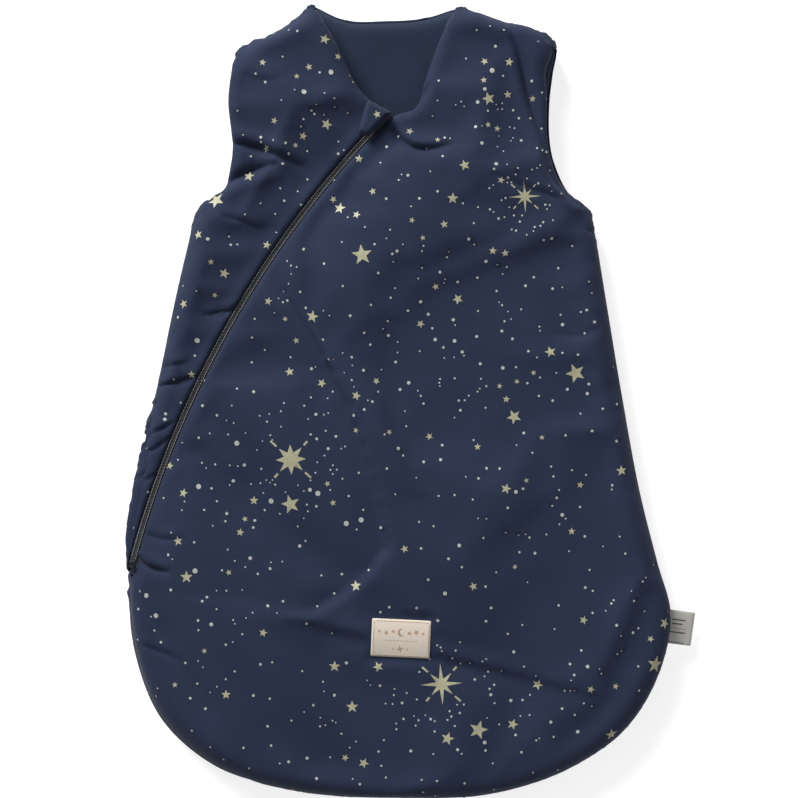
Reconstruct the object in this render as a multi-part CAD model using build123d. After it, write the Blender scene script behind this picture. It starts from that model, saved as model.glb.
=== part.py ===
from build123d import *
from math import atan2, cos, degrees, sin
import os

os.makedirs("parts", exist_ok=True)

# Padded sleeveless baby sleeping bag, lying flat on its back, front up.
# Millimetres. +Y towards the neck, +X towards the wearer's left arm, +Z up.
# The origin is on the surface it lies on, under the middle of the bag.

# ---- layers, from the surface up ----
FABRIC = 1.2                # shell cloth
LINING = 1.0                # lining cloth
BACK_LINING_TOP = 10.0      # the hollow for the baby starts here
SEAM_LEVEL = 16.0           # the seam round the sides joins back and front
UNDERLAP_LOW = 24.6
FRONT_LINING_LOW = 26.0     # the hollow ends here
FRONT_TOP = 40.0
WALL = 10.0                 # shell cloth, wadding and lining together
ABOVE = 60.0                # higher than anything on the bag
LIP = 0.5                   # the neck and armholes are cut this far short of the linings
FACET = 16.0                # the soft outlines are straight runs of about this length

# ---- zip: one flat arc from the neck down to the right side of the wearer ----
ZIP_CENTRE = (582.0, -348.0)
ZIP_RADIUS = 830.0
NECK_POINT = (-7.1, 235.3)  # bottom of the V of the neck
ZIP_END = (-223.5, -147.0)
TAPE_LOW = 28.0
TAPE_TOP = 28.6
TAPE_WIDTH = 12.0
TAPE_INSET = 3.0            # how far the tapes stay inside the sides of the bag
COIL_TOP = 30.4
COIL_INNER = 0.45           # half the gap that the slider's divider runs in
COIL_OUTER = 2.3
GROOVE = 4.2                # from the zip's middle to the folded cloth edge
UNDERLAP_WIDTH = 16.0
STOP_TOP = 31.0
TOP_STOP_LENGTH = 1.2

# ---- slider and pull tab, in the slider's own frame: x is down the zip ----
SLIDER_START = 6.0          # from the neck point to the middle of the closed slider
SLIDER_HALF = 4.5
SLIDER_WIDTH = 6.6
PLATE = 1.0
LOWER_PLATE_LOW = 26.5
UPPER_PLATE_LOW = 30.8
FLANGE_LOW = 29.0
DIVIDER = 0.3
PIN_X = -1.0
PIN_Z = 33.0
PIN_RADIUS = 0.6
PIN_HOLE = 0.7
BRIDGE_HALF = 1.6
BRIDGE_WIDTH = 1.6
PULL_LENGTH = 17.0
PULL_WIDTH = 4.6
PULL_THICK = 1.2
TRAVEL_CLEARANCE = 0.5      # from the tip of the pull tab to the end of the zip, when open
STOP_CLEARANCE = 0.2        # from the slider to the bottom stop, when open
BOTTOM_STOP_LENGTH = 3.0

# ---- tongue of shell cloth that covers the closed slider ----
GARAGE_LENGTH = 29.0
GARAGE_TOP_WIDTH = 18.0
GARAGE_END_WIDTH = 8.0
GARAGE_LOW = 40.4
GARAGE_THICK = 3.0

# ---- label, side tag and piping ----
LABEL_SIZE = (48.5, 31.5)
LABEL_CENTRE = (1.5, -197.0)
LABEL_TURN = -2.5
LABEL_THICK = 0.7
STITCH_WIDTH = 0.6
STITCH_HIGH = 0.3
STITCH_INSET = 2.0
TAG_ROOT = (221.0, -188.5)
TAG_TURN = -8.0
TAG_LENGTH = 24.0
TAG_WIDTH = 28.0
RIBBON = 0.7
PIPING = 1.2
PIPING_START = -156.0       # the piping runs round the foot, below this

# ---- outlines, round the bag ----
LEFT_UNDERARM = (-166.4, 163.1)
RIGHT_UNDERARM = (159.5, 158.0)
LEFT_SHOULDER = (-134.5, 291.7)
RIGHT_SHOULDER = (133.8, 293.0)
LEFT_COLLAR = (-71.8, 330.0)
RIGHT_COLLAR = (47.7, 327.5)
SIDES_AND_FOOT = [
    LEFT_UNDERARM, (-184.7, 86.7), (-198.5, 20.0), (-211.8, -40.0), (-222.5, -100.0),
    (-225.2, -147.0), (-219.5, -213.0), (-198.0, -266.0), (-152.3, -305.9), (-90.9, -324.1),
    (0.0, -330.8), (81.8, -326.4), (145.0, -304.5), (188.0, -273.5), (214.6, -230.3),
    (225.3, -177.0), (214.5, -136.0), (200.4, -80.0), (185.5, -0.4), (172.2, 79.3), RIGHT_UNDERARM,
]
RIGHT_ARMHOLE = [RIGHT_UNDERARM, (144.0, 170.0), (130.0, 197.0), (125.8, 246.0), RIGHT_SHOULDER]
RIGHT_SHOULDER_TOP = [RIGHT_SHOULDER, (119.9, 303.4), (80.1, 315.0), RIGHT_COLLAR]
BACK_NECK = [RIGHT_COLLAR, (20.3, 315.8), (-12.0, 313.0), (-44.0, 314.0), LEFT_COLLAR]
LEFT_SHOULDER_TOP = [LEFT_COLLAR, (-89.2, 312.5), (-116.6, 297.8), LEFT_SHOULDER]
LEFT_ARMHOLE = [LEFT_SHOULDER, (-141.0, 250.0), (-138.3, 198.0), (-147.0, 171.0), LEFT_UNDERARM]
FRONT_RIGHT_NECK = [RIGHT_COLLAR, (36.1, 302.5), (22.0, 264.0), (14.0, 241.5), NECK_POINT]
FRONT_LEFT_NECK = [NECK_POINT, (-26.1, 248.6), (-53.5, 296.7), LEFT_COLLAR]
FRONT_RIGHT_ARMHOLE = [
    (162.0, 149.0), (137.4, 172.5), (124.5, 203.0), (122.0, 245.0), (124.0, 280.0), (136.0, 302.0),
]

zip_start_angle = atan2(NECK_POINT[1] - ZIP_CENTRE[1], NECK_POINT[0] - ZIP_CENTRE[0])
zip_end_angle = atan2(ZIP_END[1] - ZIP_CENTRE[1], ZIP_END[0] - ZIP_CENTRE[0])
zip_length = (zip_end_angle - zip_start_angle) * ZIP_RADIUS


def slab(face, low, high):
    return extrude(Plane.XY.offset(low) * face, high - low)


def block(x, y, z):
    """A box from its lowest and highest x, y and z."""
    size = (x[1] - x[0], y[1] - y[0], z[1] - z[0])
    middle = ((x[0] + x[1]) / 2, (y[0] + y[1]) / 2, (z[0] + z[1]) / 2)
    return Pos(*middle) * Box(*size)


def inside_zip(radius, low, high):
    """Everything on the inner side of the zip's arc, out to the radius."""
    return Pos(*ZIP_CENTRE, (low + high) / 2) * Cylinder(radius, high - low)


def along_zip(inner, outer, low, high, start=0.0, end=None):
    """A band that follows the zip.

    inner and outer are distances from the zip's middle, positive away from the arc's centre.
    start and end are distances along the zip from the neck point.
    """
    end = zip_length if end is None else end
    first = zip_start_angle + start / ZIP_RADIUS
    last = zip_start_angle + end / ZIP_RADIUS
    centre = Vector(*ZIP_CENTRE)
    near, far = ZIP_RADIUS + inner, ZIP_RADIUS + outer

    def corner(radius, angle):
        return centre + Vector(radius * cos(angle), radius * sin(angle))

    middle = (first + last) / 2
    face = make_face([
        ThreePointArc(corner(near, first), corner(near, middle), corner(near, last)),
        Line(corner(near, last), corner(far, last)),
        ThreePointArc(corner(far, last), corner(far, middle), corner(far, first)),
        Line(corner(far, first), corner(near, first)),
    ])
    return slab(face, low, high)


def zip_place(distance):
    """The place on the zip's middle line, with x down the zip and z up."""
    angle = zip_start_angle + distance / ZIP_RADIUS
    x = ZIP_CENTRE[0] + ZIP_RADIUS * cos(angle)
    y = ZIP_CENTRE[1] + ZIP_RADIUS * sin(angle)
    return Plane(origin=(x, y, 0), x_dir=(-sin(angle), cos(angle), 0), z_dir=(0, 0, 1))


# ---- the padded body: three closed pads inside each other make the layers ----

def corners_of(*outlines):
    """Corners of one closed line that follows smooth curves through the outlines' points."""
    corners = []
    for points in outlines:
        curve = Spline(*points)
        runs = round(curve.length / FACET) + 1
        corners += [curve @ (run / runs) for run in range(runs)]
    return corners


def faceted(*outlines):
    return make_face(Polyline(*corners_of(*outlines), close=True))


def drawn_in(corners, inset):
    """The corners moved inwards, so that every side moves by inset."""
    twice_area = sum(
        a.X * b.Y - b.X * a.Y for a, b in zip(corners, corners[1:] + corners[:1]))
    turn = 90 if twice_area > 0 else -90
    moved = []
    for before, corner, after in zip(corners[-1:] + corners[:-1], corners, corners[1:] + corners[:1]):
        first = (corner - before).normalized().rotate(Axis.Z, turn)
        second = (after - corner).normalized().rotate(Axis.Z, turn)
        moved.append(corner + (first + second) * (inset / (1 + first.dot(second))))
    return moved


silhouette = corners_of(
    SIDES_AND_FOOT, RIGHT_ARMHOLE, RIGHT_SHOULDER_TOP, BACK_NECK, LEFT_SHOULDER_TOP, LEFT_ARMHOLE)


def pad(inset, low, high):
    """The bag's outline, drawn in, as a thick pad."""
    return slab(make_face(Polyline(*drawn_in(silhouette, inset), close=True)), low, high)


shell_pad = pad(0.0, 0.0, FRONT_TOP)
wadding_pad = pad(FABRIC, FABRIC, FRONT_TOP - FABRIC)
lining_pad = pad(WALL - LINING, BACK_LINING_TOP - LINING, FRONT_LINING_LOW + LINING)
hollow = pad(WALL, BACK_LINING_TOP, FRONT_LINING_LOW)

# ---- where the bag is open ----
gap = (BACK_LINING_TOP + LIP, FRONT_LINING_LOW - LIP)
neck_face = faceted(
    FRONT_RIGHT_NECK, FRONT_LEFT_NECK, [LEFT_COLLAR, (-72.0, 350.0)],
    [(-72.0, 350.0), (48.0, 350.0)], [(48.0, 350.0), RIGHT_COLLAR])
neck_hole = slab(neck_face, gap[0], ABOVE)
armhole_face = faceted(
    FRONT_RIGHT_ARMHOLE, [FRONT_RIGHT_ARMHOLE[-1], (190.0, 302.0)],
    [(190.0, 302.0), (190.0, 149.0)], [(190.0, 149.0), FRONT_RIGHT_ARMHOLE[0]])
right_front_cut = slab(armhole_face, gap[0], ABOVE)
left_hole = block((-190.0, -125.0), (180.0, 282.0), gap)
right_hole = block((112.0, 190.0), (180.0, 282.0), gap)

# ---- the front is split along the zip, and its shell cloth is turned down to the tapes ----
zip_reach = {"start": -15.0, "end": zip_length + 4.0}
to_the_left = block((-300.0, NECK_POINT[0]), (-400.0, 400.0), (0.0, ABOVE))
side_zone = to_the_left - inside_zip(ZIP_RADIUS, 0.0, ABOVE)
groove = along_zip(-GROOVE, GROOVE, gap[1], ABOVE, **zip_reach)
fold_space = along_zip(-GROOVE - FABRIC, GROOVE + FABRIC, TAPE_TOP, ABOVE, **zip_reach)
tape_space = along_zip(-TAPE_WIDTH - 0.6, TAPE_WIDTH + 0.6, gap[1], TAPE_TOP + 0.3, **zip_reach)
above_seam = block((-300.0, 300.0), (-400.0, 400.0), (SEAM_LEVEL, ABOVE))

pads = [shell_pad, wadding_pad, lining_pad, hollow]
front_pads = [one & above_seam for one in pads]
front_pads[1] -= fold_space
back_pads = [one - above_seam for one in pads]


def front_layer(index):
    """The shell (0), wadding (1) or lining (2) of the front, open at the neck and arms."""
    layer = front_pads[index] - front_pads[index + 1]
    for cut in (neck_hole, left_hole, right_hole, right_front_cut):
        layer -= cut
    return layer


def back_layer(index):
    layer = back_pads[index] - back_pads[index + 1]
    for cut in (neck_hole, left_hole, right_hole):
        layer -= cut
    return layer


front_shell = front_layer(0) - groove
front_wadding = front_layer(1) - tape_space
front_lining = front_layer(2) - groove
back_shell = back_layer(0)
piping_zone = block((-300.0, 300.0), (-400.0, PIPING_START),
                    (SEAM_LEVEL - PIPING / 2, SEAM_LEVEL + PIPING / 2))
nodes = {
    "front_main_panel": front_shell - side_zone - piping_zone,
    "front_side_panel": front_shell & side_zone,
    "front_main_wadding": front_wadding - side_zone,
    "front_side_wadding": front_wadding & side_zone,
    "front_main_lining": front_lining - side_zone,
    "front_side_lining": front_lining & side_zone,
    "back_panel": back_shell - piping_zone,
    "back_wadding": back_layer(1),
    "back_lining": back_layer(2),
    "foot_piping": (shell_pad & piping_zone) - wadding_pad,
}

# ---- zip tapes, coils, stops and the strip behind them ----
pull_start = PIN_X - 0.7
slider_travel = zip_length - SLIDER_START - pull_start - PULL_LENGTH - TRAVEL_CLEARANCE
coil_end = SLIDER_START + slider_travel + SLIDER_HALF + STOP_CLEARANCE
tape_room = pad(TAPE_INSET, TAPE_LOW - 1.0, TAPE_TOP + 1.0) - neck_hole
nodes["zip_tape_right"] = along_zip(-TAPE_WIDTH, -COIL_INNER, TAPE_LOW, TAPE_TOP) & tape_room
nodes["zip_tape_left"] = along_zip(COIL_INNER, TAPE_WIDTH, TAPE_LOW, TAPE_TOP) & tape_room
nodes["zip_coil_right"] = along_zip(
    -COIL_OUTER, -COIL_INNER, TAPE_TOP, COIL_TOP, start=TOP_STOP_LENGTH, end=coil_end)
nodes["zip_coil_left"] = along_zip(
    COIL_INNER, COIL_OUTER, TAPE_TOP, COIL_TOP, start=TOP_STOP_LENGTH, end=coil_end)
nodes["zip_top_stops"] = (
    along_zip(-COIL_OUTER, -COIL_INNER, TAPE_TOP, STOP_TOP, end=TOP_STOP_LENGTH)
    + along_zip(COIL_INNER, COIL_OUTER, TAPE_TOP, STOP_TOP, end=TOP_STOP_LENGTH)
)
nodes["zip_bottom_stop"] = along_zip(
    -COIL_OUTER, COIL_OUTER, TAPE_TOP, STOP_TOP, start=coil_end, end=coil_end + BOTTOM_STOP_LENGTH)
underlap_band = along_zip(-UNDERLAP_WIDTH, UNDERLAP_WIDTH, UNDERLAP_LOW, FRONT_LINING_LOW)
nodes["zip_underlap"] = (underlap_band & hollow) - neck_hole


# ---- slider ----
def slider_box(x, half_width, z, inner=0.0):
    outer_part = block(x, (-half_width, half_width), z)
    return outer_part - block(x, (-inner, inner), z) if inner else outer_part


full = (-SLIDER_HALF, SLIDER_HALF)
upper_plate_top = UPPER_PLATE_LOW + PLATE
slider = slider_box(full, SLIDER_WIDTH / 2 - 0.2, (LOWER_PLATE_LOW, LOWER_PLATE_LOW + PLATE))
slider += slider_box(full, SLIDER_WIDTH / 2, (UPPER_PLATE_LOW, upper_plate_top))
slider = fillet(slider.edges().filter_by(Axis.Z), 1.2)
flange_x = (-SLIDER_HALF + 1.5, SLIDER_HALF - 1.5)
slider += slider_box(flange_x, SLIDER_WIDTH / 2, (FLANGE_LOW, upper_plate_top), inner=2.7)
slider += slider_box(
    (-SLIDER_HALF, -SLIDER_HALF + 2.0), DIVIDER / 2, (LOWER_PLATE_LOW, upper_plate_top))
bridge_z = (upper_plate_top, PIN_Z + BRIDGE_HALF - 0.1)
slider += slider_box((PIN_X - BRIDGE_HALF, PIN_X + BRIDGE_HALF), BRIDGE_WIDTH / 2, bridge_z)
slider -= Pos(PIN_X, 0, PIN_Z) * Rot(90, 0, 0) * Cylinder(PIN_HOLE, SLIDER_WIDTH)

# ---- pull tab: a plate, two arms and the pin through the slider's bridge ----
pull_z = (PIN_Z - PULL_THICK / 2, PIN_Z + PULL_THICK / 2)
plate_start = PIN_X + 2.5
pull = slider_box((plate_start, pull_start + PULL_LENGTH), PULL_WIDTH / 2, pull_z)
pull = fillet(pull.edges().filter_by(Axis.Z).group_by(Axis.X)[-1], 1.8)
pull += slider_box((pull_start, plate_start), PULL_WIDTH / 2, pull_z, inner=BRIDGE_WIDTH / 2 + 0.2)
pull += Pos(PIN_X, 0, PIN_Z) * Rot(90, 0, 0) * Cylinder(PIN_RADIUS, PULL_WIDTH - 1.0)
pull -= slider_box((pull_start + PULL_LENGTH - 4.5, pull_start + PULL_LENGTH - 2.5), 1.0, pull_z)

at_slider = zip_place(SLIDER_START).location
nodes["zip_slider"] = at_slider * slider
nodes["zip_pull_tab"] = at_slider * pull

# ---- tongue over the closed slider: a wedge with a rounded fold where it is sewn on ----
garage_middle = GARAGE_LOW + GARAGE_THICK / 2
tongue_face = make_face(Polyline(
    (0.0, -GARAGE_TOP_WIDTH / 2), (GARAGE_LENGTH, -GARAGE_END_WIDTH / 2),
    (GARAGE_LENGTH, GARAGE_END_WIDTH / 2), (0.0, GARAGE_TOP_WIDTH / 2), close=True))
tongue = slab(tongue_face, GARAGE_LOW, GARAGE_LOW + GARAGE_THICK)
tongue = fillet(tongue.edges().filter_by(Axis.Z).group_by(Axis.X)[-1], 3.0)
tongue = fillet(tongue.edges().group_by(Axis.Z)[-1].sort_by(Axis.X)[1:], 1.2)
tongue += Pos(0, 0, garage_middle) * Rot(90, 0, 0) * Cylinder(GARAGE_THICK / 2, GARAGE_TOP_WIDTH)
nodes["zip_garage"] = zip_place(0.0).location * tongue

# ---- label with its stitching, and the folded side tag ----
label_place = Pos(*LABEL_CENTRE, FRONT_TOP) * Rot(0, 0, LABEL_TURN)
label_face = RectangleRounded(*LABEL_SIZE, 1.0)
nodes["front_label"] = label_place * extrude(label_face, LABEL_THICK)
stitch_outer = Rectangle(LABEL_SIZE[0] - 2 * STITCH_INSET, LABEL_SIZE[1] - 2 * STITCH_INSET)
stitch_inner = offset(stitch_outer, -STITCH_WIDTH, kind=Kind.INTERSECTION)
stitch_ring = extrude(stitch_outer - stitch_inner, STITCH_HIGH)
nodes["label_stitching"] = label_place * Pos(0, 0, LABEL_THICK) * stitch_ring

tag_loop = SlotOverall(2 * TAG_LENGTH, 3 * RIBBON) - SlotOverall(2 * TAG_LENGTH - 2 * RIBBON, RIBBON)
tag_profile = Plane.XZ * (tag_loop & Pos(TAG_LENGTH / 2, 0) * Rectangle(TAG_LENGTH, 3 * RIBBON))
tag = extrude(tag_profile, TAG_WIDTH / 2, both=True)
tag_place = Pos(*TAG_ROOT, SEAM_LEVEL) * Rot(0, 0, TAG_TURN)
nodes["side_tag"] = (tag_place * tag) - shell_pad

for name, solid in nodes.items():
    solid.label = name
    export_step(solid, f"parts/{name}.step")

slider_place = zip_place(SLIDER_START)
print("zip length", round(zip_length, 1))
print("slider travel, degrees", round(degrees(slider_travel / ZIP_RADIUS), 3))
print("pull tab pin at", slider_place.from_local_coords((PIN_X, 0, PIN_Z)), "along", slider_place.y_dir)
print("tongue fold at", zip_place(0.0).origin, "height", garage_middle, "along", zip_place(0.0).y_dir)
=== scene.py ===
import math

import bpy
import numpy as np
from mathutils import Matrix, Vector
from mathutils.bvhtree import BVHTree
from mathutils.geometry import delaunay_2d_cdt


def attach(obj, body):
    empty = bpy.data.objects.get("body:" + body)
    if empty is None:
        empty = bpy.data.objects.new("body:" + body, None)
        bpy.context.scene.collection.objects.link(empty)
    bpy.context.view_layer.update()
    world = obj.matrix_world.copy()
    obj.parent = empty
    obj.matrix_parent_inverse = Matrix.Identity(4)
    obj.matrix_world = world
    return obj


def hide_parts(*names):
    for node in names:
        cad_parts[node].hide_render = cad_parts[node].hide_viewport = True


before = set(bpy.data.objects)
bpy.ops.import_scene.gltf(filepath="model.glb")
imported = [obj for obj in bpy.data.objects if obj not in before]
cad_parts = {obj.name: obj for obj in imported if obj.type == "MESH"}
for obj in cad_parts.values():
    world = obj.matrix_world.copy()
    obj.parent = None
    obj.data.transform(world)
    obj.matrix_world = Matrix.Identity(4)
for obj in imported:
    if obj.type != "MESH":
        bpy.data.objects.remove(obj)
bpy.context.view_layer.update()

# Lengths here are in millimetres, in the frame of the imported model; mesh_object turns them to metres.
MM = 0.001
chance = np.random.default_rng(7)

# ---------------------------------------------------------------- outlines
NECK_POINT = (-7.1, 235.3)
ZIP_CENTRE = np.array((582.0, -348.0))
ZIP_RADIUS = 830.0
ZIP_END = (-223.5, -147.0)
LEFT_UNDERARM = (-166.4, 163.1)
RIGHT_UNDERARM = (159.5, 158.0)
LEFT_SHOULDER = (-134.5, 291.7)
RIGHT_SHOULDER = (133.8, 293.0)
LEFT_COLLAR = (-71.8, 330.0)
RIGHT_COLLAR = (47.7, 327.5)
SIDE_BOTTOM = (-225.2, -147.0)
LEFT_SIDE = [LEFT_UNDERARM, (-184.7, 86.7), (-198.5, 20.0), (-211.8, -40.0), (-222.5, -100.0),
             SIDE_BOTTOM]
FOOT_AND_RIGHT_SIDE = [
    SIDE_BOTTOM, (-219.5, -213.0), (-198.0, -266.0), (-152.3, -305.9), (-90.9, -324.1),
    (0.0, -330.8), (81.8, -326.4), (145.0, -304.5), (188.0, -273.5), (214.6, -230.3),
    (225.3, -177.0), (214.5, -136.0), (200.4, -80.0), (185.5, -0.4), (172.2, 79.3), RIGHT_UNDERARM]
RIGHT_ARMHOLE = [RIGHT_UNDERARM, (144.0, 170.0), (130.0, 197.0), (125.8, 246.0), RIGHT_SHOULDER]
RIGHT_SHOULDER_TOP = [RIGHT_SHOULDER, (119.9, 303.4), (80.1, 315.0), RIGHT_COLLAR]
BACK_NECK = [RIGHT_COLLAR, (20.3, 318.6), (-12.0, 316.2), (-44.0, 317.0), LEFT_COLLAR]
LEFT_SHOULDER_TOP = [LEFT_COLLAR, (-89.2, 312.5), (-116.6, 297.8), LEFT_SHOULDER]
LEFT_ARMHOLE = [LEFT_SHOULDER, (-141.0, 250.0), (-138.3, 198.0), (-147.0, 171.0), LEFT_UNDERARM]
FRONT_RIGHT_NECK = [RIGHT_COLLAR, (36.1, 302.5), (22.0, 264.0), (14.0, 241.5), NECK_POINT]
FRONT_LEFT_NECK = [NECK_POINT, (-26.1, 248.6), (-53.5, 296.7), LEFT_COLLAR]
FRONT_RIGHT_ARMHOLE = [RIGHT_UNDERARM, (137.4, 172.5), (124.5, 203.0), (122.0, 245.0),
                       (124.0, 280.0), RIGHT_SHOULDER]

# ---------------------------------------------------------------- heights and rims of the pads
FRONT_RIM_TOP = 36.0        # where the rounded rims of the front end
FRONT_CROWN = 4.0           # how much higher the middle of the front stands
BACK_LOW = 0.4              # the lowest that the back reaches
SEAM_HEIGHT = 16.0          # the seam round the sides, between front and back
NECK_ROLL_HEIGHT = 25.0     # where the front's rolled edges meet its lining
BACK_ROLL_HEIGHT = 7.0      # where the back's rolled edges meet its lining
ZIP_HEIGHT = 28.3
ZIP_RIM_TOP = 31.8          # where the narrow rims beside the zip end
CLOTH_TO_ZIP = 3.3          # from the zip's middle to where the cloth is sewn on
FRONT_INNER = 26.4          # the padding's sides towards the lining
BACK_INNER = 9.6
FINE = 3.4                  # spacing of the mesh points
COARSE = 8.0                # spacing in the simulation
CORNER_SOFT = 16.0          # how far from a corner the cloth is smoothed over
FOLD_ROWS = np.array((0, 0.5, -0.5, 1.1, -1.1, 1.9, -1.9))      # mesh rows beside a fold, in its widths
TURNED_IN = 14.0            # how far the printed cloth is turned in under the rim
LINING_LEVEL = 22.0         # how far from the edge the underside reaches the lining
RINGS = (1.6, 3.6, 6.0, 8.8)    # insets of the rows of mesh points that follow a pad's outline
LABEL_SIZE = (48.5, 31.5)
LABEL_CENTRE = np.array((1.5, -197.0))
LABEL_TURN = math.radians(-2.5)


def smooth_line(points, step=4.0):
    """Even points along a smooth curve through the given ones, both ends included."""
    p = np.array(points, float)
    gaps = np.linalg.norm(np.diff(p, axis=0), axis=1)
    at = np.concatenate([[0], np.cumsum(gaps)])
    slope = np.diff(p, axis=0) / gaps[:, None]
    tangent = np.empty_like(p)
    before, after = gaps[:-1, None], gaps[1:, None]
    tangent[1:-1] = (slope[:-1] * after + slope[1:] * before) / (before + after)
    tangent[0] = slope[0] * 1.5 - tangent[1] * 0.5
    tangent[-1] = slope[-1] * 1.5 - tangent[-2] * 0.5
    count = max(1, round(at[-1] / step))
    u = np.linspace(0, at[-1], count + 1)
    i = np.clip(np.searchsorted(at, u, side="right") - 1, 0, len(gaps) - 1)
    h = gaps[i][:, None]
    s = (u - at[i])[:, None] / h
    return ((2 * s**3 - 3 * s**2 + 1) * p[i] + (s**3 - 2 * s**2 + s) * h * tangent[i]
            + (3 * s**2 - 2 * s**3) * p[i + 1] + (s**3 - s**2) * h * tangent[i + 1])


def zip_angle(point):
    return math.atan2(point[1] - ZIP_CENTRE[1], point[0] - ZIP_CENTRE[0])


ZIP_FIRST = zip_angle(NECK_POINT)
ZIP_LENGTH = (zip_angle(ZIP_END) - ZIP_FIRST) * ZIP_RADIUS


def zip_points(distances, aside=0.0):
    """Points along the zip from the neck; aside is positive towards the side panel."""
    angle = ZIP_FIRST + np.asarray(distances, float) / ZIP_RADIUS
    way = np.stack([np.cos(angle), np.sin(angle)], axis=-1)
    return ZIP_CENTRE + (ZIP_RADIUS + np.asarray(aside, float)[..., None]) * way


def zip_line(aside, step=4.0):
    return zip_points(np.linspace(0, ZIP_LENGTH, round(ZIP_LENGTH / step) + 1), aside)


def ramp(values, start, end):
    """0 at start, 1 at end, smooth between."""
    t = np.clip((np.asarray(values, float) - start) / (end - start), 0, 1)
    return t * t * (3 - 2 * t)


def unit(vectors):
    return vectors / np.maximum(np.linalg.norm(vectors, axis=-1, keepdims=True), 1e-9)


def left_of(line):
    """Unit vectors to the left of an open line, at each of its points."""
    along = unit(np.gradient(line, axis=0))
    return np.stack([-along[:, 1], along[:, 0]], axis=1)


def inwards_of(loop):
    """Unit vectors into a closed loop that runs to the left, at each of its points."""
    along = unit(np.roll(loop, -1, axis=0) - np.roll(loop, 1, axis=0))
    return np.stack([-along[:, 1], along[:, 0]], axis=1)


def round_rise(share):
    """From 0 at 0 to 1 at 1 and beyond, steep first and level at the end."""
    return np.sin(np.clip(share, 0, 1) * math.pi / 2)


def box_corners(left, low, right, high):
    return np.array([(left, low), (right, low), (right, high), (left, high)])


def turned(points, angle):
    c, s = math.cos(angle), math.sin(angle)
    return points @ np.array(((c, s), (-s, c)))


# ---------------------------------------------------------------- pads
class Edge:
    """One edge of a pad and the rounded rim that rises from it.

    height is where the edge is sewn, tuck the angle by which the rim first bulges outwards, width
    the size of the rim across, and top the height where it ends. Each is a number or one for each
    point of the line. crown is how much higher the pad's middle is than top. With draw_in the
    line is moved inwards by as much as the rim bulges.
    """

    def __init__(self, line, height, width, tuck, top, crown=0.0, draw_in=True):
        line = np.array(line, float)
        self.crown = crown
        n = len(line)
        height, width, tuck = (np.zeros(n) + v for v in (height, width, tuck))
        rise = (top - height) / (1 + np.sin(tuck))
        self.outward = -left_of(line)
        bulge = width * (1 - np.cos(tuck))
        self.line = line - self.outward * bulge[:, None] if draw_in else line
        turns = np.linspace(-tuck, np.full(n, math.pi / 2), 25)
        size = np.hypot(width * np.sin(turns), rise * np.cos(turns))
        reach = size[1:-1].mean(axis=0) * (math.pi / 2 + tuck)
        self.numbers = np.stack([height, width, rise, tuck, reach], axis=1)
        self.spare = reach - width * np.cos(tuck)

    @property
    def flat(self):
        """The edge in the flat cloth, before it is drawn in round its rim."""
        return self.line + self.outward * self.spare[:, None]

    def reverse(self):
        """The same edge run the other way, for the pad on its other side."""
        self.line, self.numbers, self.spare = self.line[::-1], self.numbers[::-1], self.spare[::-1]
        self.outward = -self.outward[::-1]
        return self

    def nearest(self, points, line):
        """Distance from each point to the line, the way in from it, and the edge's numbers there."""
        a, ab = line[:-1], np.diff(line, axis=0)
        best = np.full(len(points), 1e9)
        which = np.zeros(len(points), int)
        share = np.zeros(len(points))
        for i in range(len(a)):
            t = np.clip((points - a[i]) @ ab[i] / max(ab[i] @ ab[i], 1e-9), 0, 1)
            d = np.linalg.norm(points - a[i] - t[:, None] * ab[i], axis=1)
            closer = d < best
            best[closer], which[closer], share[closer] = d[closer], i, t[closer]
        s = share[:, None]
        foot = a[which] + s * ab[which]
        numbers = self.numbers[which] * (1 - s) + self.numbers[which + 1] * s
        outward = unit(self.outward[which] * (1 - s) + self.outward[which + 1] * s)
        way_in = np.where(best[:, None] > 0.5, unit(points - foot), -outward)
        return best, way_in, numbers

    def rim(self, far, numbers):
        """Height over the edge's own side, and how far a flat point has to move inwards."""
        height, width, rise, tuck, reach = numbers.T
        turn = -tuck + (math.pi / 2 + tuck) * np.clip(far / reach, 0, 1)
        up = rise * (np.sin(turn) + np.sin(tuck))
        up = up + self.crown * (1 - np.exp(-((np.maximum(far - 0.6 * reach, 0) / 45.0) ** 1.4)))
        inwards = width * (np.cos(tuck) - np.cos(turn)) - (far - (reach - width * np.cos(tuck)))
        return height, up, np.where(far < reach, inwards, 0.0)


def soften(loop, places, corners):
    """Rounds a closed outline where its places on the bag are near the corners."""
    apart = np.linalg.norm(np.array(places)[:, None] - np.array(corners)[None], axis=2)
    share = np.exp(-((apart.min(axis=1) / 7.0) ** 2))[:, None]
    for _ in range(3):
        middle = (np.roll(loop, 1, axis=0) + np.roll(loop, -1, axis=0)) / 2
        loop = loop + (middle - loop) * share * 0.5
    return loop


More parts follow.
